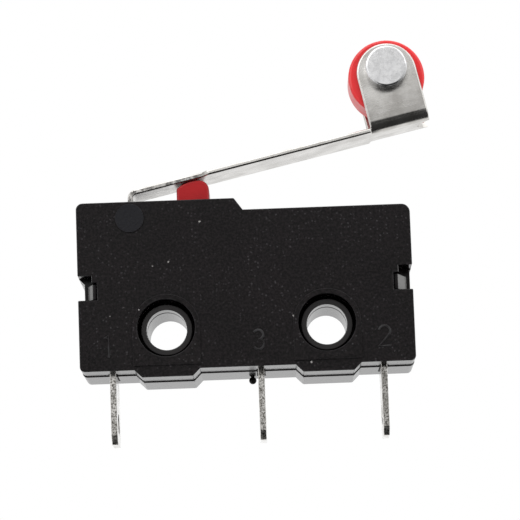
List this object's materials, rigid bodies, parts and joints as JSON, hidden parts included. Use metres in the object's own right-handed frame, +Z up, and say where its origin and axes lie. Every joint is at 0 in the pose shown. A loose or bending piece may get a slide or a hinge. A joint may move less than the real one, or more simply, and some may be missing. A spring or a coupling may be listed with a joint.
{
  "type": "roller lever micro switch",
  "caption": "Subminiature snap-action changeover switch in a black case, worked by a hinged steel lever with a red roller.",
  "frame": {"origin": "midway between the axes of the two mounting holes, on the rear face of the case", "axes": "+X along the row of mounting holes towards the roller end, +Y out of the rear face, +Z up towards the lever"},
  "size_m": [0.0213, 0.0064, 0.0239],
  "materials": {
    "case_plastic": "fine moulded black",
    "roller_plastic": "bright red, smooth",
    "plunger_plastic": "deep red, smooth",
    "lever_steel": "rolled sheet",
    "pin_steel": "turned",
    "terminal_metal": "tin plated, mottled",
    "blade_metal": "bare copper alloy spring",
    "contact_metal": "silver contact"
  },
  "bodies": {
    "case": {"base": "case_plastic", "cover": "case_plastic", "hinge_pin": "pin_steel", "common_terminal": "terminal_metal", "normally_open_terminal": "terminal_metal", "normally_closed_terminal": "terminal_metal", "normally_open_contact": "contact_metal", "normally_closed_contact": "contact_metal"},
    "lever": {"lever": "lever_steel", "roller_rivet": "pin_steel"},
    "roller": {"roller": "roller_plastic"},
    "plunger": {"plunger": "plunger_plastic"},
    "blade": {"snap_blade": "blade_metal", "moving_contact": "contact_metal"}
  },
  "joints": [
    {"name": "lever_pivot", "type": "hinge", "parent": "case", "child": "lever", "pos_m": [-0.00673, -0.0032, 0.00662], "axis": [0, 1, 0], "range_deg": [0, 12.5], "stiffness_Nm_per_rad": 0.008, "springref_deg": -28.65},
    {"name": "roller_spin", "type": "hinge", "parent": "lever", "child": "roller", "pos_m": [0.00893, -0.0032, 0.015], "axis": [0, 1, 0], "continuous": true},
    {"name": "plunger_slide", "type": "slide", "parent": "case", "child": "plunger", "axis": [0, 0, -1], "range_m": [0, 0.000905]},
    {"name": "blade_snap", "type": "hinge", "parent": "case", "child": "blade", "pos_m": [-0.00795, -0.0032, 0.0041], "axis": [0, 1, 0], "range_deg": [0, 2], "deforming": ["snap_blade"]}
  ],
  "couplings": [
    {"joint": "plunger_slide", "follows": "lever_pivot", "m_per_rad": 0.004095},
    {"joint": "blade_snap", "follows": "lever_pivot", "ratio": 0.15162}
  ]
}
